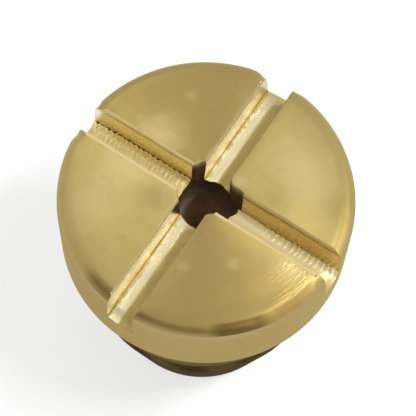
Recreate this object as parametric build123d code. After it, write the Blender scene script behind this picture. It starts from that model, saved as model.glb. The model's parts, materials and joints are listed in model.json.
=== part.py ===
from build123d import *
import os

# Bleed screw, turned from one length of brass bar.
# It stands on the flat end of its tip with the screw axis along +Z, and the origin is
# the middle of that end. The two driver slots run along X and along Y.
# All sizes are in millimetres.

# Head
head_diameter = 12.0
head_height = 3.6
head_edge_radius = 0.45
head_underside_chamfer = 0.15

# Shank: the outside of the thread, drawn plain, which runs up to the head
thread_diameter = 10.0
thread_length = 4.6

# Tip: a long cone that closes the bleed port, with a flat end
tip_length = 5.1
tip_end_diameter = 7.6
tip_edge_radius = 0.25

# Driver slots, sawn across the whole head at right angles to each other.
# The saw chattered in the slot along X and rolled its edges over more.
slot_depth = 1.75
slot_width_along_x = 1.12
slot_width_along_y = 1.22
slot_edge_radius_along_x = 0.15
slot_edge_radius_along_y = 0.06

# Bleed hole, drilled right through along the screw
bleed_hole_diameter = 2.2

# The slots and the hole are cut in a second clamping, so they share a centre
# that lies slightly off the axis of the turned outside
second_clamping_x = -0.16
second_clamping_y = 0.16

# How far a saw or a drill runs past the metal on each side
tool_run_out = 1.0

# Heights and radii that follow from the sizes above
shank_length = tip_length + thread_length
total_length = shank_length + head_height
head_radius = head_diameter / 2
thread_radius = thread_diameter / 2
tip_end_radius = tip_end_diameter / 2


def turned_blank():
    """The solid as it leaves the lathe, before the slots and the hole.

    Half of the section through the axis is drawn from the tip's end up to the head's
    top, with the radius across the sketch and the height up it.
    """
    with BuildPart() as blank:
        with BuildSketch(Plane.XZ) as section:
            with BuildLine():
                Polyline(
                    (0, 0),
                    (tip_end_radius, 0),
                    (thread_radius, tip_length),
                    (thread_radius, shank_length),
                    (head_radius - head_underside_chamfer, shank_length),
                    (head_radius, shank_length + head_underside_chamfer),
                    (head_radius, total_length),
                    (0, total_length),
                    close=True,
                )
            make_face()
            tip_corner = section.vertices().group_by(Axis.Y)[0].sort_by(Axis.X)[-1]
            fillet(tip_corner, tip_edge_radius)
            head_corner = section.vertices().group_by(Axis.Y)[-1].sort_by(Axis.X)[-1]
            fillet(head_corner, head_edge_radius)
        revolve(axis=Axis.Z)
    return blank.part


def saw_cut(width, edge_radius):
    """The metal that one pass of the saw takes out, along Y.

    The cut is straight-sided, and at the top it widens in two round shoulders,
    which leave the slot's edges rolled over onto the head.
    """
    saw_travel = head_diameter + 2 * tool_run_out
    clear_width = width + 2 * (edge_radius + tool_run_out)
    with BuildPart() as cut:
        with BuildSketch(Plane.XZ) as section:
            with Locations((0, total_length - slot_depth)):
                Rectangle(width, slot_depth, align=(Align.CENTER, Align.MIN))
            with Locations((0, total_length)):
                Rectangle(clear_width, tool_run_out, align=(Align.CENTER, Align.MIN))
            shoulders = section.vertices().group_by(Axis.Y)[1].sort_by(Axis.X)[1:3]
            fillet(shoulders, edge_radius)
        extrude(amount=saw_travel / 2, both=True)
    return cut.part


def bleed_hole():
    """The metal that the drill takes out along Z, from end to end."""
    drill_travel = total_length + 2 * tool_run_out
    return Pos(Z=total_length / 2) * Cylinder(bleed_hole_diameter / 2, drill_travel)


second_clamping = Pos(second_clamping_x, second_clamping_y)
slot_along_y = second_clamping * saw_cut(slot_width_along_y, slot_edge_radius_along_y)
slot_along_x = (
    second_clamping * Rot(Z=90) * saw_cut(slot_width_along_x, slot_edge_radius_along_x)
)

bleed_screw = turned_blank() - slot_along_y - slot_along_x - second_clamping * bleed_hole()
bleed_screw.label = "bleed_screw"

os.makedirs("parts", exist_ok=True)
export_step(bleed_screw, "parts/bleed_screw.step")
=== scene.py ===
import json
import math

import bmesh
import bpy
import numpy as np
from mathutils import Matrix, Vector


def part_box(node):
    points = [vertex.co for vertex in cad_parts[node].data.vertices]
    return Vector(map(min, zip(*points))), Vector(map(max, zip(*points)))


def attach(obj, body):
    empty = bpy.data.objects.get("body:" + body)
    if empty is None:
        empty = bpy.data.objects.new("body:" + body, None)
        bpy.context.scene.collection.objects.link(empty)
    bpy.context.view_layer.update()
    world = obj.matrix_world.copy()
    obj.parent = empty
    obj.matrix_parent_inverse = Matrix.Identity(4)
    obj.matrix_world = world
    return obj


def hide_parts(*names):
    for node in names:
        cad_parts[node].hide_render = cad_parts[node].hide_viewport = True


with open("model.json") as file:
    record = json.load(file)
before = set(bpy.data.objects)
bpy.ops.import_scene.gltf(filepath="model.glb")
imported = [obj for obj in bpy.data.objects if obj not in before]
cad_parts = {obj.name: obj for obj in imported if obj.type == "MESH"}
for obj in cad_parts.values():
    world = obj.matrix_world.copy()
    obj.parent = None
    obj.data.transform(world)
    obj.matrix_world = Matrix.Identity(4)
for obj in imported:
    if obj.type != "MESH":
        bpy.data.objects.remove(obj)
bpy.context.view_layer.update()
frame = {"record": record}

# Sizes are in millimetres, and become metres where a mesh, lamp or camera is made.
MM = 0.001

# What the solid says of itself: the far corner of its box and the places of its mounts
_, box_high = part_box("bleed_screw")
mounts = {mount["name"]: mount for mount in frame["record"]["mounts"]}
head_radius = box_high.x / MM
head_top = box_high.z / MM
head_underside = mounts["head_seat"]["pos_m"][2] / MM
thread_radius = mounts["thread"]["dims"]["r_mm"]
tip_length = head_underside - mounts["thread"]["dims"]["length_mm"]
slot_floor = mounts["driver_slots"]["pos_m"][2] / MM
hole_radius = mounts["bleed_hole"]["dims"]["r_mm"]
centre_x = mounts["bleed_hole"]["pos_m"][0] / MM
centre_y = mounts["bleed_hole"]["pos_m"][1] / MM

# Sizes of the solid that no mount gives
head_edge_radius = 0.45
head_underside_chamfer = 0.15
tip_end_radius = 3.8
tip_edge_radius = 0.25
slot_half_width = {"x": 0.56, "y": 0.61}
slot_edge_radius = {"x": 0.15, "y": 0.06}

# Two roundings that are this model's own: the hole's mouth, and how far the tip's edge reaches out
hole_mouth_radius = 0.05
tip_edge_reach = 0.235

# The fine thread, which fades out before the cone and under the head
thread_pitch = 1.0
thread_depth = 0.6
thread_fade_low = (tip_length + 0.5, tip_length + 2.1)
thread_fade_high = (head_underside - 0.45, head_underside - 0.1)

# Saw marks: ramps of metal at the foot of the chattered slot's wall, and ridges and a built-up
# corner on its floor. The arms along -X and +X have their own values under -1 and 1.
tooth_pitch = 0.25
tooth_out_of_wall = 0.18
tooth_reach_up = 0.3
tooth_crest = 0.7
ridge_pitch = 0.21
ridge_height = 0.055
ridge_reach = {-1: 0.5, 1: 0.3}
ridge_strength = {-1: 1.5, 1: 0.8}
corner_rise = {-1: 0.22, 1: 0.12}

# Chips on the clean slot's edges, with its -X side under -1, and wear at the floors' outer ends
chip_depth = {-1: 0.015, 1: 0.03}
worn_end_depth = {"x": 0.05, "y": 0.09}

# Tears in the hole's mouth: middle and spread in radians, how far they reach out, and the
# heights above the slots' floor between which they grow
hole_tears = (
    (0.4, 0.22, 0.46, -0.3, 0.2),
    (4.37, 0.16, 0.5, 0.15, 1.2),
    (2.2, 0.16, 0.1, 0.2, 1.6),
)

# Corners at the slots' ends that are worn round: middle and spread in radians, and the depth
worn_corners = (
    (1.70, 0.06, 0.24),
    (1.486, 0.05, 0.08),
    (2.996, 0.04, 0.08),
    (3.234, 0.05, 0.12),
    (-0.092, 0.05, 0.16),
)

# How finely each stretch is divided
arc_steps = 60
wall_steps = {"x": 150, "y": 60}
edge_steps = 10
plateau_steps = 7
rows_per_pitch = 16

# Where the rows lie: across a slot's floor, up from it, down from it on the head's side and in the
# hole, down the cone, round the tip's edge in degrees, and in towards the middle of a quarter's top
floor_shares = (0, 0.03, 0.07, 0.12, 0.22, 0.36, 0.5, 0.64, 0.78, 0.88, 0.93, 0.97, 1)
foot_rises = (0.0, 0.1, 0.22, 0.38, 0.58, 0.85)
side_drops = (0.45, 0.95, 1.35)
hole_drops = (0.25, 0.55, 0.95, 1.55, 3.55, 5.55, 7.55, 9.55)
cone_shares = (0.85, 0.7, 0.55, 0.4, 0.25, 0.12)
tip_edge_turns = (75, 50, 25, 0)
plateau_reach = 0.86

# Points closer than the first of these are joined, edges shorter than the second are taken out,
# and corners sharper than the third are shaded sharp
weld_distance = 0.0002
shortest_edge = 0.00001
sharp_degrees = 38

# Finishes, in the order of the piece's material slots
HEAD, SIDE, CLEAN_SLOT, CHATTERED_SLOT, BORE, SHANK = range(6)

# The upper part of the head's rounded edge that has the face's finish, as a share of its height
face_share_of_edge = 0.4


def smooth_step(value, low, high):
    """0 below low, 1 above high, and an even curve between them."""
    share = np.clip((value - low) / (high - low), 0.0, 1.0)
    return share * share * (3 - 2 * share)


def ripple(value, seed):
    """An uneven wave between -1 and 1, the same at each run."""
    first = np.sin(value * 1.0 + seed)
    second = np.sin(value * 2.3 + seed * 1.7)
    third = np.sin(value * 4.1 + seed * 2.9)
    return (first + 0.6 * second + 0.4 * third) / 2


def teeth(along, pitch, seed):
    """Uneven teeth between 0 and 1, steep on one side."""
    phase = along / pitch + 0.3 * ripple(along * 2.2, seed)
    share = phase - np.floor(phase)
    height = 0.7 + 0.3 * ripple(np.floor(phase) * 2.1, seed + 4)
    return height * np.where(share < tooth_crest, share / tooth_crest, (1 - share) / (1 - tooth_crest))


def bulge(angle, middle, spread):
    """1 at one place round the axis, and less on both sides of it."""
    off = math.remainder(angle - middle, 2 * math.pi)
    return math.exp(-((off / spread) ** 2))


def rounded_off(edge_radius, z):
    """How far a rounded edge at the head's top is cut back at a height."""
    rise = max(z - (head_top - edge_radius), 0.0)
    return edge_radius - math.sqrt(max(edge_radius**2 - rise**2, 0.0))


def head_radius_at(angle, z):
    """Radius of the head, with its rounded front edge and the worn corners at the slots' ends."""
    worn = sum(depth * bulge(angle, middle, spread) for middle, spread, depth in worn_corners)
    grown = float(smooth_step(z, slot_floor + 0.1, head_top))
    return head_radius - rounded_off(head_edge_radius, z) - worn * grown


def hole_radius_at(angle, z):
    """Radius of the bleed hole, whose mouth the saw tore in three places."""
    tears = 0.0
    for middle, spread, reach, start, full in hole_tears:
        grown = float(smooth_step(z, slot_floor + start, slot_floor + full))
        tears += reach * grown * bulge(angle, middle, spread)
    rough = 0.05 * float(ripple(angle * 5.0, 1.3)) * float(smooth_step(z, slot_floor - 1.2, slot_floor))
    return hole_radius + tears + rough + rounded_off(hole_mouth_radius, z)


def chattered_wall(side, along, z):
    """How far the saw marks push a wall of the slot along X back into the metal."""
    uneven = 0.012 * float(ripple(along * 1.7, side + 7))
    if side < 0:
        return uneven
    low = max(1.0 - (z - slot_floor) / tooth_reach_up, 0.0)
    grown = 0.15 + 0.85 * float(smooth_step(along, 2.0, 3.6)) if along > 0 else 0.45
    return uneven - tooth_out_of_wall * grown * low * float(teeth(along, tooth_pitch, 2.0))


def chipped_wall(side, along, z):
    """How far the chips on its edge push a wall of the slot along Y back into the metal."""
    chips = max(float(ripple(along * 2.9, 11 + side)) - 0.35, 0.0)
    near_top = float(smooth_step(z, head_top - 0.35, head_top))
    return chip_depth[side] * chips * near_top + 0.01 * float(ripple(along * 1.3, side + 3))


def wall_across(slot, side, along, z):
    """Where a slot's wall lies across the slot, measured from the slot's middle."""
    marks = chattered_wall(side, along, z) if slot == "x" else chipped_wall(side, along, z)
    return side * (slot_half_width[slot] + rounded_off(slot_edge_radius[slot], z) + marks)


def floor_relief(slot, along, across):
    """Height of the saw marks on a slot's floor. across runs from -1 to 1."""
    near_rim = float(smooth_step(abs(along), head_radius - 0.5, head_radius - 0.05))
    worn_and_shaded_end = worn_end_depth[slot] * near_rim
    if slot == "y":
        return 0.01 * float(ripple(across * 6.0, 2.0)) - worn_and_shaded_end
    arm = -1 if along < 0 else 1
    near_wall = max(1.0 - (1.0 - across) * slot_half_width["x"] / ridge_reach[arm], 0.0)
    ridges = float(teeth(along + 0.2 * across, ridge_pitch, 5.0))
    built_up_corner = corner_rise[arm] * float(smooth_step(across, 0.5, 1.0)) ** 2
    return ridge_height * ridge_strength[arm] * near_wall * ridges + built_up_corner - worn_and_shaded_end


def turn_of(slot, along, across):
    """The angle in plan of a point that lies so far along a slot and across it."""
    return math.atan2(across, along) if slot == "x" else math.atan2(along, across)


def plan_point(slot, along, across, z):
    """The point that lies so far along a slot and across it."""
    return (along, across, z) if slot == "x" else (across, along, z)


def middle_of(slot):
    """Where the middle of a slot lies, along the slot and across it."""
    return (centre_x, centre_y) if slot == "x" else (centre_y, centre_x)


def wall_end_points(slot, side, way, z):
    """Inner and outer end of one wall, as distances along the slot from its middle.

    side is the wall's side of the slot, and way the direction along the slot.
    """
    middle_along, middle_across = middle_of(slot)
    inner, outer = hole_radius, head_radius
    for _ in range(4):
        inner_across = wall_across(slot, side, way * inner, z)
        rim_across = middle_across + wall_across(slot, side, way * outer, z)
        rim_turn = turn_of(slot, middle_along + way * outer, rim_across)
        radius = hole_radius_at(turn_of(slot, way * inner, inner_across), z)
        inner = math.sqrt(max(radius**2 - inner_across**2, 0.01))
        outer = math.sqrt(head_radius_at(rim_turn, z) ** 2 - rim_across**2) - way * middle_along
    return inner, outer


def wall_line(slot, side, way, z):
    """Points along one wall from the hole out to the rim."""
    middle_along, middle_across = middle_of(slot)
    inner, outer = wall_end_points(slot, side, way, z)
    steps = wall_steps[slot]
    points = []
    for step in range(steps + 1):
        along = way * (inner + (outer - inner) * step / steps)
        across = wall_across(slot, side, along, z)
        height = slot_floor + floor_relief(slot, along, side) if z == slot_floor else z
        points.append(plan_point(slot, middle_along + along, middle_across + across, height))
    return points


def arc_between(start, end, centre, radius_of_angle, z):
    """Points on a round edge between two points, without its ends."""
    first = math.atan2(start[1] - centre[1], start[0] - centre[0])
    turn = math.remainder(math.atan2(end[1] - centre[1], end[0] - centre[0]) - first, 2 * math.pi)
    points = []
    for step in range(1, arc_steps):
        angle = first + turn * step / arc_steps
        radius = radius_of_angle(angle, z)
        points.append((centre[0] + radius * math.cos(angle), centre[1] + radius * math.sin(angle), z))
    return points


def head_arc(start, end, z):
    """The head's outside between two slot walls."""
    return arc_between(start, end, (0.0, 0.0), head_radius_at, z)


def hole_arc(start, end, z):
    """The bleed hole's wall between two slot walls."""
    return arc_between(start, end, (centre_x, centre_y), hole_radius_at, z)


class Skin:
    """Gathers the faces of the one turned piece, with the finish of each."""

    def __init__(self):
        self.points = []
        self.faces = []
        self.finishes = []

    def add_points(self, points):
        """Adds points and returns their numbers."""
        first = len(self.points)
        self.points.extend(points)
        return list(range(first, first + len(points)))

    def add_strip(self, low, high, finish, closed=True):
        """Joins two rows of as many points with four-sided faces.

        finish is one finish, or a list with one for each face.
        """
        count = len(low)
        for i in range(count if closed else count - 1):
            j = (i + 1) % count
            self.faces.append((low[i], low[j], high[j], high[i]))
            self.finishes.append(finish[i] if isinstance(finish, list) else finish)

    def add_cap(self, ring, finish):
        """Closes a ring with one flat face."""
        self.faces.append(tuple(ring))
        self.finishes.append(finish)


def quarter_heights():
    """Heights of the rings up one quarter, close together at the teeth and the round edges."""
    start = head_top - head_edge_radius
    turns = [math.pi / 2 * step / edge_steps for step in range(edge_steps + 1)]
    edge = [start + head_edge_radius * math.sin(turn) for turn in turns]
    return [slot_floor + rise for rise in foot_rises] + edge


def quarter_ring(side_x, side_y, z):
    """The outline of one quarter of the head at a height."""
    wall_y = wall_line("y", side_x, side_y, z)
    wall_x = wall_line("x", side_y, side_x, z)
    outside = head_arc(wall_x[-1], wall_y[-1], z)
    inside = hole_arc(wall_y[0], wall_x[0], z)
    return [wall_x[-1]] + outside + wall_y[::-1] + inside + wall_x[:-1]


def add_quarter(skin, side_x, side_y):
    """One raised quarter of the head, from the slots' floor to its flat top."""
    cut_finishes = [CLEAN_SLOT] * wall_steps["y"] + [BORE] * arc_steps
    cut_finishes += [CHATTERED_SLOT] * wall_steps["x"]
    outlines = [quarter_ring(side_x, side_y, z) for z in quarter_heights()]
    rows = [skin.add_points(outline) for outline in outlines]
    for low, high, z in zip(rows, rows[1:], quarter_heights()[1:]):
        on_face = z > head_top - head_edge_radius * face_share_of_edge
        outside_finishes = [HEAD if on_face else SIDE] * arc_steps
        skin.add_strip(low, high, outside_finishes + cut_finishes)
    outline = np.array(outlines[-1])
    middle = outline.mean(axis=0)
    ring = rows[-1]
    for step in range(1, plateau_steps + 1):
        share = plateau_reach * step / plateau_steps
        inset = outline + (middle - outline) * share
        following = skin.add_points([tuple(point) for point in inset])
        skin.add_strip(ring, following, HEAD)
        ring = following
    skin.add_cap(ring, HEAD)


def floor_row(slot, way, low, high, share):
    """One row of floor points between the two walls, from the hole out to the rim."""
    middle_along, middle_across = middle_of(slot)
    axis = 1 if slot == "x" else 0
    across = [one[axis] * (1 - share) + other[axis] * share for one, other in zip(low, high)]
    off = across[0] - middle_across
    radius = hole_radius_at(turn_of(slot, way * hole_radius, off), slot_floor)
    inner = middle_along + way * math.sqrt(max(radius**2 - off**2, 0.01))
    outer = way * math.sqrt(head_radius**2 - across[-1] ** 2)
    points = []
    for step in range(wall_steps[slot] + 1):
        along = inner + (outer - inner) * step / wall_steps[slot]
        height = slot_floor + floor_relief(slot, along - middle_along, 2 * share - 1)
        points.append(plan_point(slot, along, across[step], height))
    return points


def slot_floor_rows(slot, way):
    """Points of the floor of one arm of a slot, row by row from one wall to the other."""
    low = wall_line(slot, -1, way, slot_floor)
    high = wall_line(slot, 1, way, slot_floor)
    between = [floor_row(slot, way, low, high, share) for share in floor_shares[1:-1]]
    return [low] + between + [high]


def add_slot_floors(skin):
    """The four arms of the crossed slots. Returns the rows of each arm by its slot and its way."""
    arms = {}
    for slot, finish in (("x", CHATTERED_SLOT), ("y", CLEAN_SLOT)):
        for way in (1, -1):
            rows = slot_floor_rows(slot, way)
            numbered = [skin.add_points(row) for row in rows]
            for low, high in zip(numbered, numbered[1:]):
                skin.add_strip(low, high, finish, closed=False)
            arms[(slot, way)] = rows
    return arms


def ring_at_floor(arms, end):
    """The whole ring at the slots' floor, once round from the arm along +X.

    end is -1 for the outside of the head and 0 for the wall of the bleed hole.
    """
    arc = head_arc if end == -1 else hole_arc
    arm_ends = []
    for slot, way, run in (("x", 1, 1), ("y", 1, -1), ("x", -1, -1), ("y", -1, 1)):
        across = [row[end] for row in arms[(slot, way)]]
        arm_ends.append(across if run == 1 else across[::-1])
    ring = []
    for number, across in enumerate(arm_ends):
        following = arm_ends[(number + 1) % 4][0]
        ring += across + arc(across[-1], following, slot_floor)
    return ring


def thread_radius_at(angle, z):
    """Radius of the shank, with a right-handed thread that fades out at both ends."""
    share = (z / thread_pitch - angle / (2 * math.pi)) % 1.0
    groove = 1.0 - abs(share - 0.5) * 2
    cut = float(smooth_step(groove, 0.1, 0.9))
    low = float(smooth_step(z, *thread_fade_low))
    high = 1.0 - float(smooth_step(z, *thread_fade_high))
    return thread_radius - thread_depth * cut * low * high


def outside_profile():
    """Radius, height and finish of each row down the outside, below the slots' floor.

    The rows of the thread have no radius of their own.
    """
    heights = [slot_floor - drop for drop in side_drops] + [head_underside + head_underside_chamfer]
    steps = [(head_radius, z, SIDE) for z in heights]
    steps.append((head_radius - head_underside_chamfer, head_underside, SIDE))
    steps.append(((head_radius + thread_radius) / 2, head_underside, SHANK))
    rows = round((head_underside - tip_length) / thread_pitch * rows_per_pitch)
    for row in range(rows + 1):
        steps.append((None, head_underside - (head_underside - tip_length) * row / rows, SHANK))
    for share in cone_shares:
        radius = tip_end_radius + (thread_radius - tip_end_radius) * share
        steps.append((radius, tip_length * share, SHANK))
    for turn in tip_edge_turns:
        reach = tip_edge_reach * math.sin(math.radians(turn))
        rise = tip_edge_radius * (1 - math.cos(math.radians(turn)))
        steps.append((tip_end_radius - tip_edge_radius + reach, rise, SHANK))
    return steps


def add_outside(skin, ring):
    """The outside of the head, the shank and the tip. Returns the edge of the tip's flat end."""
    angles = [math.atan2(point[1], point[0]) for point in ring]
    above = skin.add_points(ring)
    for radius, z, finish in outside_profile():
        row = []
        for angle in angles:
            reach = thread_radius_at(angle, z) if radius is None else radius
            row.append((reach * math.cos(angle), reach * math.sin(angle), z))
        below = skin.add_points(row)
        skin.add_strip(above, below, finish)
        above = below
    return above


def add_bore(skin, ring, flat_end):
    """The bleed hole's wall, from the slots' floor down, and the flat end round it."""
    angles = [math.atan2(point[1] - centre_y, point[0] - centre_x) for point in ring]
    above = skin.add_points(ring)
    for z in [slot_floor - drop for drop in hole_drops] + [0.0]:
        row = []
        for angle in angles:
            reach = hole_radius_at(angle, z)
            row.append((centre_x + reach * math.cos(angle), centre_y + reach * math.sin(angle), z))
        below = skin.add_points(row)
        skin.add_strip(above, below, BORE)
        above = below
    skin.add_strip(above, flat_end, SHANK)


def turned_screw():
    """The whole screw as one closed mesh."""
    skin = Skin()
    for side_x in (1, -1):
        for side_y in (1, -1):
            add_quarter(skin, side_x, side_y)
    arms = add_slot_floors(skin)
    flat_end = add_outside(skin, ring_at_floor(arms, -1))
    add_bore(skin, ring_at_floor(arms, 0), flat_end)

    mesh = bpy.data.meshes.new("turned_screw")
    mesh.from_pydata([Vector(point) * MM for point in skin.points], [], skin.faces)
    mesh.polygons.foreach_set("material_index", skin.finishes)
    made = bmesh.new()
    made.from_mesh(mesh)
    bmesh.ops.remove_doubles(made, verts=made.verts, dist=weld_distance * MM)
    bmesh.ops.dissolve_degenerate(made, edges=made.edges, dist=shortest_edge * MM)
    bmesh.ops.recalc_face_normals(made, faces=made.faces)
    for face in made.faces:
        face.smooth = True
    open_edges = sum(1 for edge in made.edges if len(edge.link_faces) != 2)
    print("turned screw: faces", len(made.faces), "open edges", open_edges)
    made.to_mesh(mesh)
    made.free()
    mesh.set_sharp_from_angle(angle=math.radians(sharp_degrees))
    piece = bpy.data.objects.new("turned_screw", mesh)
    bpy.context.scene.collection.objects.link(piece)
    return piece


class Wiring:
    """Adds nodes to one node tree and joins them."""

    def __init__(self, tree):
        self.tree = tree

    def node(self, kind, **settings):
        made = self.tree.nodes.new(kind)
        for name, value in settings.items():
            setattr(made, name, value)
        return made

    def feed(self, socket, value):
        """Gives a socket a value, or joins it to another socket."""
        if isinstance(value, bpy.types.NodeSocket):
            self.tree.links.new(value, socket)
        else:
            socket.default_value = value

    def calc(self, operation, *values):
        """One step of arithmetic, on as many values as it takes."""
        made = self.node("ShaderNodeMath", operation=operation)
        for socket, value in zip(made.inputs, values):
            self.feed(socket, value)
        return made.outputs[0]

    def plus(self, first, second):
        return self.calc("ADD", first, second)

    def minus(self, first, second):
        return self.calc("SUBTRACT", first, second)

    def times(self, first, second):
        return self.calc("MULTIPLY", first, second)

    def over(self, first, second):
        return self.calc("DIVIDE", first, second)

    def larger(self, first, second):
        return self.calc("MAXIMUM", first, second)

    def between(self, value, low, high, out_low=0.0, out_high=1.0):
        """Passes smoothly from one output to the other as the value goes from low to high."""
        made = self.node("ShaderNodeMapRange", interpolation_type="SMOOTHSTEP")
        names = ("Value", "From Min", "From Max", "To Min", "To Max")
        for name, given in zip(names, (value, low, high, out_low, out_high)):
            self.feed(made.inputs[name], given)
        return made.outputs["Result"]

    def blend(self, share, first, second):
        """Mixes two colours."""
        made = self.node("ShaderNodeMix", data_type="RGBA")
        self.feed(made.inputs[0], share)
        self.feed(made.inputs[6], first)
        self.feed(made.inputs[7], second)
        return made.outputs[2]

    def noise(self, place, scale, detail=3.0, roughness=0.55):
        made = self.node("ShaderNodeTexNoise")
        self.feed(made.inputs["Vector"], place)
        self.feed(made.inputs["Scale"], scale)
        made.inputs["Detail"].default_value = detail
        made.inputs["Roughness"].default_value = roughness
        return made.outputs[0]

    def vector(self, x, y, z):
        made = self.node("ShaderNodeCombineXYZ")
        for socket, value in zip(made.inputs, (x, y, z)):
            self.feed(socket, value)
        return made.outputs[0]

    def parts(self, vector):
        made = self.node("ShaderNodeSeparateXYZ")
        self.feed(made.inputs[0], vector)
        return made.outputs

    def length(self, x, y):
        """How far a point lies from the origin of a plane."""
        return self.calc("SQRT", self.plus(self.times(x, x), self.times(y, y)))

    def use(self, group, **values):
        """Places a node group and feeds its inputs. An input's spaces are low lines here."""
        made = self.node("ShaderNodeGroup", node_tree=group)
        for name, value in values.items():
            self.feed(made.inputs[name.replace("_", " ").capitalize()], value)
        return made.outputs


def new_group(name, inputs, outputs):
    """A shader node group with named inputs and outputs, and the wiring inside it."""
    group = bpy.data.node_groups.new(name, "ShaderNodeTree")
    for socket_name, kind in inputs:
        group.interface.new_socket(socket_name, in_out="INPUT", socket_type="NodeSocket" + kind)
    for socket_name, kind in outputs:
        group.interface.new_socket(socket_name, in_out="OUTPUT", socket_type="NodeSocket" + kind)
    wiring = Wiring(group)
    return group, wiring, wiring.node("NodeGroupInput").outputs, wiring.node("NodeGroupOutput").inputs


def place_group():
    """Where a point lies on the screw, in millimetres, from the turned axis and from the slots."""
    names = ("Radius", "Height", "Off slot x", "Off slot y", "Turn")
    outputs = [("Place", "Vector")] + [(name, "Float") for name in names]
    group, wiring, _, out = new_group("place_on_screw", [], outputs)
    scaled = wiring.node("ShaderNodeVectorMath", operation="SCALE")
    wiring.feed(scaled.inputs[0], wiring.node("ShaderNodeTexCoord").outputs["Object"])
    scaled.inputs["Scale"].default_value = 1 / MM
    x, y, z = wiring.parts(scaled.outputs[0])
    wiring.feed(out["Place"], scaled.outputs[0])
    wiring.feed(out["Radius"], wiring.length(x, y))
    wiring.feed(out["Height"], z)
    wiring.feed(out["Off slot x"], wiring.minus(y, centre_y))
    wiring.feed(out["Off slot y"], wiring.minus(x, centre_x))
    wiring.feed(out["Turn"], wiring.calc("ARCTAN2", y, x))
    return group


def tarnish_group():
    """Soft cloudy patches where the brass has dulled."""
    inputs = [("Place", "Vector"), ("Size", "Float"), ("Contrast", "Float")]
    group, wiring, given, out = new_group("cloudy_tarnish", inputs, [("Mask", "Float")])
    broad = wiring.noise(given["Place"], wiring.over(1.0, given["Size"]), 2.0, 0.5)
    fine = wiring.noise(given["Place"], wiring.over(3.7, given["Size"]), 4.0, 0.6)
    both = wiring.plus(wiring.times(broad, 0.88), wiring.times(fine, 0.12))
    reach = wiring.over(0.24, given["Contrast"])
    wiring.feed(out["Mask"], wiring.between(both, wiring.minus(0.5, reach), wiring.plus(0.5, reach)))
    return group


def turning_group():
    """Lathe marks: fine lines at uneven steps across, broken along their run."""
    inputs = [("Place", "Vector"), ("Across", "Float"), ("Pitch", "Float"), ("Run", "Float")]
    group, wiring, given, out = new_group("turning_marks", inputs, [("Line", "Float")])
    steps = wiring.over(given["Across"], given["Pitch"])
    run = wiring.times(given["Run"], 0.8)
    lines = wiring.noise(wiring.vector(steps, run, 0.0), 1.0, 2.5, 0.65)
    broken = wiring.between(wiring.noise(given["Place"], 0.9, 2.0, 0.5), 0.35, 0.65, 0.35, 1.0)
    wiring.feed(out["Line"], wiring.times(wiring.minus(lines, 0.5), broken))
    return group


def spot_group():
    """A soft round mark at one place on the head."""
    inputs = [("Place", "Vector"), ("X", "Float"), ("Y", "Float"), ("Radius", "Float")]
    group, wiring, given, out = new_group("soft_spot", inputs, [("Mask", "Float")])
    x, y, _ = wiring.parts(given["Place"])
    off = wiring.length(wiring.minus(x, given["X"]), wiring.minus(y, given["Y"]))
    wobble = wiring.times(wiring.noise(given["Place"], 2.2, 2.0), 0.6)
    uneven = wiring.plus(wiring.over(off, given["Radius"]), wobble)
    wiring.feed(out["Mask"], wiring.between(uneven, 0.35, 1.25, 1.0, 0.0))
    return group


def corner_group():
    """A thin dark line in the corner between a slot's wall and its floor."""
    names = ("Off middle", "Half width", "Above floor", "Reach")
    inputs = [("Place", "Vector")] + [(name, "Float") for name in names]
    group, wiring, given, out = new_group("dark_corner_line", inputs, [("Mask", "Float")])
    off_wall = wiring.minus(given["Half width"], wiring.calc("ABSOLUTE", given["Off middle"]))
    away = wiring.length(off_wall, given["Above floor"])
    ragged = wiring.between(wiring.noise(given["Place"], 3.5), 0.3, 0.7, 0.3, 1.5)
    reach = wiring.times(given["Reach"], ragged)
    wiring.feed(out["Mask"], wiring.between(away, wiring.times(reach, 0.35), reach, 1.0, 0.0))
    return group


def sector_group():
    """A soft mask over one sector of the turned surface, in radians."""
    inputs = [("Turn", "Float"), ("Middle", "Float"), ("Half", "Float"), ("Fade", "Float")]
    group, wiring, given, out = new_group("round_sector", inputs, [("Mask", "Float")])
    wrapped = wiring.calc("WRAP", wiring.minus(given["Turn"], given["Middle"]), math.pi, -math.pi)
    outer = wiring.plus(given["Half"], given["Fade"])
    off = wiring.calc("ABSOLUTE", wrapped)
    wiring.feed(out["Mask"], wiring.between(off, given["Half"], outer, 1.0, 0.0))
    return group


place_on_screw = place_group()
cloudy_tarnish = tarnish_group()
turning_marks = turning_group()
soft_spot = spot_group()
dark_corner_line = corner_group()
round_sector = sector_group()


def new_finish(name, metallic):
    """A material with its wiring, its shader's inputs and the place of each point on the screw."""
    material = bpy.data.materials.new(name)
    material.use_nodes = True
    wiring = Wiring(material.node_tree)
    shader = material.node_tree.nodes["Principled BSDF"].inputs
    shader["Metallic"].default_value = metallic
    return material, wiring, shader, wiring.use(place_on_screw)


def clouds(wiring, at, size, contrast):
    """The tarnish's mask, with patches of about the given size."""
    return wiring.use(cloudy_tarnish, place=at["Place"], size=size, contrast=contrast)["Mask"]


def sector(wiring, at, middle, half, fade):
    """The mask of one sector of the turned surface, in radians."""
    return wiring.use(round_sector, turn=at["Turn"], middle=middle, half=half, fade=fade)["Mask"]


def add_relief(wiring, shader, height, distance):
    """Fine relief, whose height is given in shares of the distance, in millimetres."""
    bump = wiring.node("ShaderNodeBump")
    bump.inputs["Distance"].default_value = distance * MM
    wiring.feed(bump.inputs["Height"], height)
    wiring.feed(shader["Normal"], bump.outputs[0])
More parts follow.
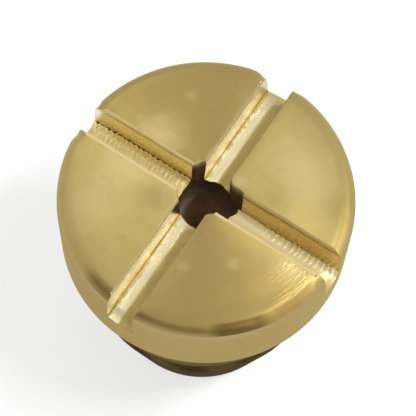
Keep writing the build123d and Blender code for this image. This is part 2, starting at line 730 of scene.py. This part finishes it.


# The head's brass and its grain, with painted shade on its face and edge and a painted dark reflection
# round the front of its edge
deep_gold = (0.57, 0.435, 0.14, 1)
light_gold = (0.68, 0.54, 0.20, 1)
pale_mottle = (0.76, 0.63, 0.29, 1)
brown_grain = (0.52, 0.39, 0.125, 1)
sector_shade_brown = (0.40, 0.285, 0.09, 1)
slot_side_brown = (0.40, 0.28, 0.09, 1)
outer_shade_brown = (0.42, 0.31, 0.10, 1)
rim_shade_brown = (0.36, 0.27, 0.10, 1)
ochre_and_shade = (0.42, 0.31, 0.11, 1)
dark_reflection_brown = (0.24, 0.155, 0.042, 1)
dark_reflection_patch_brown = (0.155, 0.105, 0.028, 1)

# Marks on the head's face as (x, y, radius), with their colour and their strength. The tan mark is a
# painted highlight, the lamp's glint on the rim, and the pale mark at (3.9, 4.2) is a painted glint on
# the rim.
dark_marks = (
    (3.3, -4.25, 0.45), (-1.76, -3.36, 0.22), (-3.15, -4.67, 0.25), (2.4, 1.3, 1.0),
    (4.9, 2.5, 1.3), (-1.7, -1.3, 1.2), (0.95, -5.3, 0.25),
)
pale_marks = (
    (3.3, 3.0, 2.0), (-3.6, -2.9, 1.9), (-3.0, 1.15, 1.5), (-2.9, 3.3, 0.4), (2.1, 3.1, 1.5),
    (0.75, 1.15, 0.5), (-3.4, -0.9, 1.5), (-4.1, -3.95, 0.4), (2.5, -1.9, 0.45),
    (0.9, -3.1, 0.4), (4.6, -0.7, 1.1), (3.9, 4.2, 0.3),
)
# Painted highlight: an orange-tan glint on the rim
tan_glint_marks = ((5.4, -2.35, 0.7),)
face_marks = (
    (dark_marks, (0.42, 0.30, 0.10, 1), 0.5),
    (pale_marks, (0.80, 0.66, 0.31, 1), 0.42),
    (tan_glint_marks, (0.66, 0.40, 0.10, 1), 0.7),
)

# Middles in radians of two sectors of painted shade on the face, patches on the rounded edge as (middle,
# half, share) for ochre tone with painted shade and for painted dark reflection, and the radius of that
# dark reflection
shade_sector_middles = (2.36, -0.78)
ochre_shade_patches = ((-0.4, 0.2, 0.85), (0.22, 0.16, 0.6))
dark_reflection_patches = ((-0.76, 0.11, 0.9), (-1.75, 0.1, 0.52))
dark_reflection_radius = 5.71


def add_marks(wiring, at, color, marks, mark_color, strength):
    """Lays a set of soft round marks over a colour."""
    for x, y, radius in marks:
        spot = wiring.use(soft_spot, place=at["Place"], x=x, y=y, radius=radius)["Mask"]
        share = strength * min(1.0, 0.45 + 0.4 * radius)
        color = wiring.blend(wiring.times(spot, share), color, mark_color)
    return color


def face_color(wiring, at, mottle):
    """Colour of the head's face: cloudy brass, with painted shade in two sectors and towards the rim,
    darker beside one side of each slot, and marked.
    """
    color = wiring.blend(clouds(wiring, at, size=2.8, contrast=0.8), deep_gold, light_gold)
    color = wiring.blend(wiring.times(mottle, 0.33), color, pale_mottle)
    grain = clouds(wiring, at, size=0.5, contrast=0.8)
    color = wiring.blend(wiring.times(grain, 0.3), color, brown_grain)
    # Painted shade: two sectors where the turned face's sheen is weak are darkened
    for middle in shade_sector_middles:
        shaded = sector(wiring, at, middle, half=0.3, fade=0.75)
        color = wiring.blend(wiring.times(shaded, 0.78), color, sector_shade_brown)
    for off_slot, edge in ((at["Off slot x"], 0.66), (at["Off slot y"], 0.61)):
        beside = wiring.between(off_slot, edge, edge + 0.4, 1.0, 0.0)
        beside = wiring.times(beside, wiring.calc("GREATER_THAN", off_slot, 0.0))
        color = wiring.blend(wiring.times(beside, 0.3), color, slot_side_brown)
    for marks, mark_color, strength in face_marks:
        color = add_marks(wiring, at, color, marks, mark_color, strength)
    # Painted shade: the face darkens towards the rim, holding back the lamp's glint there
    return wiring.blend(wiring.between(at["Radius"], 4.0, 5.5, 0.0, 0.36), color, outer_shade_brown)


def rim_dark_reflection(wiring, at):
    """Painted reflection: a dark band round the front of the head's edge, where it mirrors the dark place
    where the camera stands, thinner at its ends and lighter in its middle.
    """
    ragged = wiring.times(wiring.noise(at["Place"], 1.6, 3.0), 0.22)
    off = wiring.calc("ABSOLUTE", wiring.minus(at["Radius"], dark_reflection_radius))
    uneven = wiring.plus(off, ragged)
    thick = wiring.between(uneven, 0.14, 0.4, 1.0, 0.0)
    thin = wiring.between(uneven, 0.08, 0.26, 0.9, 0.0)
    front = sector(wiring, at, middle=-0.98, half=0.66, fade=0.2)
    along = sector(wiring, at, middle=-1.07, half=0.76, fade=0.2)
    lighter_middle = sector(wiring, at, middle=-1.15, half=0.15, fade=0.25)
    dark_band = wiring.larger(wiring.times(thick, front), wiring.times(thin, along))
    return wiring.times(dark_band, wiring.between(lighter_middle, 0.0, 1.0, 1.0, 0.45))


def edge_shade_patch(wiring, at, middle, half, share):
    """A soft patch over one sector of the head's rounded edge, for painted shade and painted dark
    reflection.
    """
    at_edge = wiring.between(at["Radius"], 5.35, 5.55)
    in_sector = sector(wiring, at, middle, half, fade=0.14)
    return wiring.times(wiring.times(in_sector, at_edge), share)


def head_finish():
    """Satin brass of the turned face, cloudy, with lathe marks that show most in one sector, and painted
    shade and a painted dark reflection on its rounded edge.
    """
    material, wiring, shader, at = new_finish("satin_head_brass", 1.0)
    tangent = wiring.node("ShaderNodeTangent", direction_type="RADIAL", axis="Z")
    wiring.feed(shader["Tangent"], tangent.outputs[0])
    shader["Anisotropic"].default_value = 0.5
    shader["Anisotropic Rotation"].default_value = 0.25
    mottle = clouds(wiring, at, size=1.1, contrast=1.3)
    color = face_color(wiring, at, mottle)
    # Painted shade on the rounded edge, left out by the chattered slot's +X end where the glint stays
    at_rim = wiring.between(at["Radius"], 5.2, 5.55)
    unshaded_rim_end = sector(wiring, at, middle=-0.05, half=0.12, fade=0.12)
    rim_shade = wiring.times(wiring.times(at_rim, wiring.minus(1.0, unshaded_rim_end)), 0.45)
    color = wiring.blend(rim_shade, color, rim_shade_brown)
    ochre_shade = 0.0
    # Ochre patches on the edge: partly the edge's ochre tone, partly painted shade that holds back the
    # lamp's glint
    for middle, half, share in ochre_shade_patches:
        patch = edge_shade_patch(wiring, at, middle, half, share)
        color = wiring.blend(patch, color, ochre_and_shade)
        ochre_shade = wiring.larger(ochre_shade, patch)
    # Painted dark reflection round the front of the edge
    color = wiring.blend(wiring.times(rim_dark_reflection(wiring, at), 0.6), color, dark_reflection_brown)
    # Painted dark reflection: brown patches along the dark band on the edge
    for middle, half, share in dark_reflection_patches:
        color = wiring.blend(edge_shade_patch(wiring, at, middle, half, share), color, dark_reflection_patch_brown)
    wiring.feed(shader["Base Color"], color)
    rough = wiring.plus(wiring.between(mottle, 0.0, 1.0, 0.31, 0.27), wiring.times(ochre_shade, 0.32))
    wiring.feed(shader["Roughness"], wiring.plus(rough, wiring.times(at_rim, 0.09)))
    run = wiring.times(at["Turn"], 9.0)
    lines = wiring.use(turning_marks, place=at["Place"], across=at["Radius"], pitch=0.075, run=run)
    outward = wiring.between(at["Radius"], 3.4, 4.4)
    scratched = wiring.times(sector(wiring, at, middle=-0.22, half=0.13, fade=0.18), outward)
    height = wiring.times(lines["Line"], wiring.plus(scratched, 0.05))
    add_relief(wiring, shader, height, distance=0.013)
    return material


def lined_brass(finish, cloud, dark, light, line_color, line_share, pitch, relief):
    """Lays two cloudy colours with fine turned lines round the axis."""
    _, wiring, shader, at = finish
    color = wiring.blend(cloud, dark, light)
    lines = wiring.use(
        turning_marks, place=at["Place"], across=at["Height"], pitch=pitch, run=at["Turn"],
    )["Line"]
    color = wiring.blend(wiring.between(lines, -0.2, 0.2, 0.0, line_share), color, line_color)
    wiring.feed(shader["Base Color"], color)
    add_relief(wiring, shader, lines, relief)


def side_finish():
    """The head's turned outside, greyer and less glossy than its face, with fine lines round it."""
    finish = material, wiring, shader, at = new_finish("turned_side_brass", 1.0)
    cloud = clouds(wiring, at, size=2.0, contrast=1.0)
    dark, light, line_color = (0.38, 0.295, 0.13, 1), (0.44, 0.35, 0.17, 1), (0.48, 0.38, 0.18, 1)
    lined_brass(finish, cloud, dark, light, line_color, line_share=0.35, pitch=0.05, relief=0.01)
    shader["Specular Tint"].default_value = (0.8, 0.7, 0.45, 1)
    wiring.feed(shader["Roughness"], wiring.between(cloud, 0.0, 1.0, 0.38, 0.5))
    return material


def shank_finish():
    """The thread and the cone, browner and darker than the head, partly painted shade from the head above
    them.
    """
    finish = material, wiring, shader, at = new_finish("dark_shank_brass_and_shade", 1.0)
    cloud = clouds(wiring, at, size=1.2, contrast=1.0)
    dark, light, line_color = (0.12, 0.09, 0.045, 1), (0.18, 0.138, 0.068, 1), (0.24, 0.19, 0.1, 1)
    lined_brass(finish, cloud, dark, light, line_color, line_share=0.3, pitch=0.07, relief=0.015)
    # The dark specular tint is painted shade too: it darkens the thread's reflections at grazing angles
    shader["Specular Tint"].default_value = (0.1, 0.08, 0.05, 1)
    wiring.feed(shader["Roughness"], wiring.between(cloud, 0.0, 1.0, 0.42, 0.55))
    return material


def bore_finish():
    """The bleed hole, brown with old fluid and painted shade, darkest where the slots cut it and brassy
    at the face.
    """
    material, wiring, shader, at = new_finish("bore_brass", 0.0)
    cloud = clouds(wiring, at, size=0.5, contrast=1.0)
    deep = wiring.blend(cloud, (0.68, 0.5, 0.33, 1), (0.86, 0.66, 0.46, 1))
    # Painted shade: near black just below the slots' floor, which keeps the hole dark
    mouth = wiring.blend(cloud, (0.06, 0.036, 0.016, 1), (0.11, 0.068, 0.03, 1))
    color = wiring.blend(wiring.between(at["Height"], 7.5, slot_floor - 0.1), deep, mouth)
    at_face = wiring.between(at["Height"], head_top - 0.6, head_top, 0.0, 0.75)
    wiring.feed(shader["Base Color"], wiring.blend(at_face, color, (0.40, 0.30, 0.13, 1)))
    shader["Specular IOR Level"].default_value = 0.15
    wiring.feed(shader["Roughness"], wiring.between(cloud, 0.0, 1.0, 0.6, 0.8))
    add_relief(wiring, shader, cloud, distance=0.03)
    return material


def saw_streaks(wiring, at, along, middle):
    """Uneven lines that the saw left along a slot."""
    across, up = wiring.times(middle, 11.0), wiring.times(at["Height"], 11.0)
    return wiring.noise(wiring.vector(wiring.times(along, 0.9), across, up), 1.0, 3.0, 0.6)


def sawn_brass(slot, finish, streaks, wall, floor, dark_lines, edge):
    """Lays a slot's wall and floor colours, a thin dark line in its corners, and the saw's lines.

    The argument before edge is the colour of the corner line and of the saw's lines, and the corner
    line's share. edge is a colour, and how far below the face the wall takes it on.
    """
    _, wiring, shader, at = finish
    dark_line_color, corner_line_share = dark_lines
    edge_color, roll = edge
    height, middle = at["Height"], at["Off slot " + slot]
    above_floor = wiring.minus(height, slot_floor)
    off_wall = wiring.minus(slot_half_width[slot], wiring.calc("ABSOLUTE", middle))
    beside_tooth = wiring.between(off_wall, 0.02, 0.05, 1.0, 0.0)
    on_wall = wiring.times(wiring.between(above_floor, 0.02, 0.14), beside_tooth)
    color = wiring.blend(on_wall, floor, wall)
    corner = wiring.use(
        dark_corner_line, place=at["Place"], off_middle=middle, half_width=slot_half_width[slot],
        above_floor=above_floor, reach=0.16,
    )["Mask"]
    color = wiring.blend(wiring.times(corner, corner_line_share), color, dark_line_color)
    color = wiring.blend(wiring.between(streaks, 0.3, 0.7, 0.16, 0.0), color, dark_line_color)
    rolled = wiring.between(height, head_top - roll, head_top - roll * 0.1, 0.0, 0.85)
    wiring.feed(shader["Base Color"], wiring.blend(rolled, color, edge_color))
    rough = wiring.between(streaks, 0.2, 0.8, 0.5, 0.66)
    rough = wiring.plus(rough, wiring.between(height, head_top - 0.1, head_top - 0.04, 0.0, 0.25))
    smoother = wiring.times(on_wall, wiring.between(height, head_top - 0.12, head_top, 0.3, 0.0))
    wiring.feed(shader["Roughness"], wiring.minus(rough, smoother))
    off_the_wall = wiring.minus(1.0, wiring.times(on_wall, 0.75))
    add_relief(wiring, shader, wiring.times(streaks, off_the_wall), distance=0.012)


def clean_slot_finish():
    """The slot along Y, cut clean, with painted light on its -X wall and the lit part of its floor, plain
    brass on its +X side, and painted shade at its worn end at +Y.
    """
    finish = material, wiring, _, at = new_finish("clean_slot_brass", 1.0)
    middle, along = at["Off slot y"], wiring.parts(at["Place"])[1]
    # Painted light: the wall and the part of the floor that the lamp lights are paler than the shaded
    # side
    shaded, painted_light_floor, painted_light_wall = (0.62, 0.50, 0.21, 1), (0.62, 0.57, 0.41, 1), (0.85, 0.78, 0.52, 1)
    floor = wiring.blend(wiring.between(middle, -0.17, -0.04), painted_light_floor, shaded)
    wall = wiring.blend(wiring.between(middle, -0.3, 0.3), painted_light_wall, shaded)
    # Painted shade over the floor and wall at the worn +Y end
    worn_and_shaded_end = wiring.between(along, 4.8, 5.7, 0.0, 0.65)
    floor = wiring.blend(worn_and_shaded_end, floor, (0.46, 0.38, 0.18, 1))
    wall = wiring.blend(worn_and_shaded_end, wall, (0.5, 0.41, 0.19, 1))
    dark_lines = ((0.38, 0.27, 0.085, 1), 0.9)
    # The darker colour on the rounded top edge is painted shade that holds back the lamp's glint
    edge = ((0.46, 0.37, 0.155, 1), 0.07)
    sawn_brass("y", finish, saw_streaks(wiring, at, along, middle), wall, floor, dark_lines, edge)
    return material


def chattered_wall_color(wiring, at, along, middle, minus_x_arm):
    """Colour of the rougher slot's walls: browner along +X, with painted light high up along -X and at
    -Y.
    """
    cloud = clouds(wiring, at, size=0.9, contrast=1.0)
    wall = wiring.blend(cloud, (0.74, 0.57, 0.25, 1), (0.82, 0.65, 0.31, 1))
    # Painted light: the wall along -X grows paler towards the face
    painted_light_high_up = wiring.between(at["Height"], slot_floor + 0.2, head_top - 0.6)
    wall = wiring.blend(wiring.times(painted_light_high_up, minus_x_arm), wall, (0.99, 0.94, 0.66, 1))
    wall = wiring.blend(wiring.between(along, -0.5, 0.5, 0.0, 0.5), wall, (0.56, 0.405, 0.15, 1))
    # Painted light: the wall at -Y is pale
    return wiring.blend(wiring.between(middle, -0.3, 0.3), (0.98, 0.9, 0.6, 1), wall)


def chattered_floor_color(wiring, at, middle, minus_x_arm):
    """Colour of the rougher slot's floor: painted light towards +Y and along +X, and darker at its outer
    ends on the -Y side.
    """
    # Painted light: the floor grows paler towards the +Y wall, whose shadow falls there
    near_wall = wiring.between(middle, 0.1, 0.42)
    tan_floor = wiring.blend(near_wall, (0.7, 0.57, 0.26, 1), (0.94, 0.82, 0.46, 1))
    near_wall = wiring.between(middle, 0.0, 0.32)
    painted_light_floor = wiring.blend(near_wall, (0.67, 0.55, 0.27, 1), (1.0, 0.93, 0.6, 1))
    floor = wiring.blend(minus_x_arm, painted_light_floor, tan_floor)
    far_side = wiring.between(middle, -0.4, 0.1, 1.0, 0.0)
    dark_tip = wiring.times(far_side, wiring.between(at["Radius"], 5.3, 5.8))
    return wiring.blend(wiring.times(dark_tip, 0.85), floor, (0.38, 0.31, 0.15, 1))


def chattered_edge_color(wiring, at, middle, minus_x_arm):
    """Colour of the rougher slot's rolled edges, darker at the rim, and pale below the edge at -Y as
    painted light.
    """
    edge = wiring.blend(minus_x_arm, (0.46, 0.35, 0.13, 1), (0.6, 0.475, 0.19, 1))
    flat = wiring.between(at["Height"], head_top - 0.08, head_top - 0.02)
    # Painted light: the edge at -Y is pale where it would mirror the dark opposite wall
    hidden_edge = wiring.blend(flat, (0.98, 0.9, 0.6, 1), (0.54, 0.43, 0.18, 1))
    edge = wiring.blend(wiring.between(middle, -0.3, 0.3), hidden_edge, edge)
    return wiring.blend(wiring.between(at["Radius"], 5.5, 5.75, 0.0, 0.7), edge, (0.36, 0.28, 0.12, 1))


def chattered_slot_finish():
    """The slot along X, rougher than the other, less metallic past its edge at -Y."""
    finish = material, wiring, shader, at = new_finish("chattered_slot_brass", 1.0)
    middle, along = at["Off slot x"], wiring.parts(at["Place"])[0]
    minus_x_arm = wiring.between(along, -0.5, 0.5, 1.0, 0.0)
    wall = chattered_wall_color(wiring, at, along, middle, minus_x_arm)
    floor = chattered_floor_color(wiring, at, middle, minus_x_arm)
    past_edge = wiring.between(middle, -0.6, -0.56, 1.0, 0.0)
    wiring.feed(shader["Metallic"], wiring.minus(1.0, wiring.times(past_edge, 0.7)))
    dark_lines = ((0.6, 0.42, 0.15, 1), 0.12)
    edge = (chattered_edge_color(wiring, at, middle, minus_x_arm), 0.3)
    sawn_brass("x", finish, saw_streaks(wiring, at, along, middle), wall, floor, dark_lines, edge)
    return material


finishes = (
    head_finish, side_finish, clean_slot_finish, chattered_slot_finish, bore_finish, shank_finish,
)
screw = turned_screw()
for finish in finishes:
    screw.data.materials.append(finish())
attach(screw, "root")
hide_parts("bleed_screw")

# The floor: half its width in metres, its grey, and how brightly the camera and the metal see it
floor_half = 0.6
floor_grey = (0.35, 0.35, 0.35, 1.0)
floor_glow = 0.66


def floor_material():
    """A pale floor that the camera and the metal see as white, and that keeps the screw's shadow."""
    material = bpy.data.materials.new("painted_light_floor")
    material.use_nodes = True
    wiring = Wiring(material.node_tree)
    shader = material.node_tree.nodes["Principled BSDF"].inputs
    shader["Base Color"].default_value = floor_grey
    shader["Roughness"].default_value = 1.0
    shader["Specular IOR Level"].default_value = 0.0
    shader["Emission Color"].default_value = (1.0, 1.0, 1.0, 1.0)
    path = wiring.node("ShaderNodeLightPath").outputs
    seen = wiring.larger(path["Is Camera Ray"], path["Is Glossy Ray"])
    seen = wiring.larger(seen, path["Is Transmission Ray"])
    wiring.feed(shader["Emission Strength"], wiring.times(seen, floor_glow))
    return material


def add_floor():
    """A wide sheet under the screw."""
    corners = [(x * floor_half, y * floor_half, 0) for x, y in ((-1, -1), (1, -1), (1, 1), (-1, 1))]
    mesh = bpy.data.meshes.new("floor")
    mesh.from_pydata(corners, [], [(0, 1, 2, 3)])
    mesh.materials.append(floor_material())
    floor = bpy.data.objects.new("floor", mesh)
    bpy.context.scene.collection.objects.link(floor)


# The photograph's camera, in millimetres and degrees
view_azimuth = 30.387
view_elevation = 68.658
view_roll = 2.960
view_distance = 72.11
view_lens = 156.3
view_slide_right = -0.0612
view_slide_down = -0.5649


def camera_axes():
    """The camera's right, up and back directions."""
    azimuth, elevation = math.radians(view_azimuth), math.radians(view_elevation)
    roll = math.radians(view_roll)
    right = Vector((math.cos(azimuth), math.sin(azimuth), 0.0))
    back = Vector((
        math.sin(azimuth) * math.cos(elevation),
        -math.cos(azimuth) * math.cos(elevation),
        math.sin(elevation),
    ))
    up = back.cross(right)
    rolled_right = right * math.cos(roll) + up * math.sin(roll)
    rolled_up = up * math.cos(roll) - right * math.sin(roll)
    return rolled_right, rolled_up, back


def add_camera():
    """Looks down on the head as the photograph does."""
    right, up, back = camera_axes()
    head_middle = Vector((0, 0, head_top))
    place = head_middle + back * view_distance - right * view_slide_right + up * view_slide_down
    data = bpy.data.cameras.new("camera")
    data.lens = view_lens
    data.sensor_width = 36.0
    data.clip_start = 0.001
    data.clip_end = 10.0
    camera = bpy.data.objects.new("camera", data)
    turn = Matrix((right, up, back)).transposed().to_4x4()
    camera.matrix_world = Matrix.Translation(place * MM) @ turn
    bpy.context.scene.collection.objects.link(camera)
    bpy.context.scene.camera = camera


# The key lamp is a strip along the clean slot that leans over it, and the air is darker
# where the camera stands, between two angles in degrees
key_way = (0.38, 0.19, 0.9)
key_distance = 300
key_width = 20
key_length = 85
key_power = 0.62
air_level = 0.85
dark_place_level = 0.22
dark_place_outer = 40
dark_place_inner = 18


def add_key_lamp():
    """A strip lamp that faces the head, with its length along Y."""
    way = Vector(key_way).normalized()
    data = bpy.data.lights.new("key_lamp", "AREA")
    data.shape = "RECTANGLE"
    data.size = key_width * MM
    data.size_y = key_length * MM
    data.energy = key_power
    lamp = bpy.data.objects.new("key_lamp", data)
    length_axis = (Vector((0, 1, 0)) - way * way.y).normalized()
    turn = Matrix((length_axis.cross(way), length_axis, way)).transposed().to_4x4()
    place = Vector((0, 0, head_top)) + way * key_distance
    lamp.matrix_world = Matrix.Translation(place * MM) @ turn
    bpy.context.scene.collection.objects.link(lamp)


def add_studio_air():
    """Even soft light from all round, with a darker place where the camera stands."""
    world = bpy.data.worlds.new("studio")
    world.use_nodes = True
    wiring = Wiring(world.node_tree)
    background = world.node_tree.nodes["Background"].inputs
    facing = wiring.node("ShaderNodeVectorMath", operation="DOT_PRODUCT")
    wiring.feed(facing.inputs[0], wiring.node("ShaderNodeTexCoord").outputs["Generated"])
    facing.inputs[1].default_value = camera_axes()[2]
    outer = math.cos(math.radians(dark_place_outer))
    inner = math.cos(math.radians(dark_place_inner))
    level = wiring.between(facing.outputs["Value"], outer, inner, air_level, dark_place_level)
    background["Color"].default_value = (1.0, 1.0, 1.0, 1.0)
    wiring.feed(background["Strength"], level)
    bpy.context.scene.world = world


add_floor()
add_camera()
add_key_lamp()
add_studio_air()
bpy.context.scene.view_settings.view_transform = "Standard"
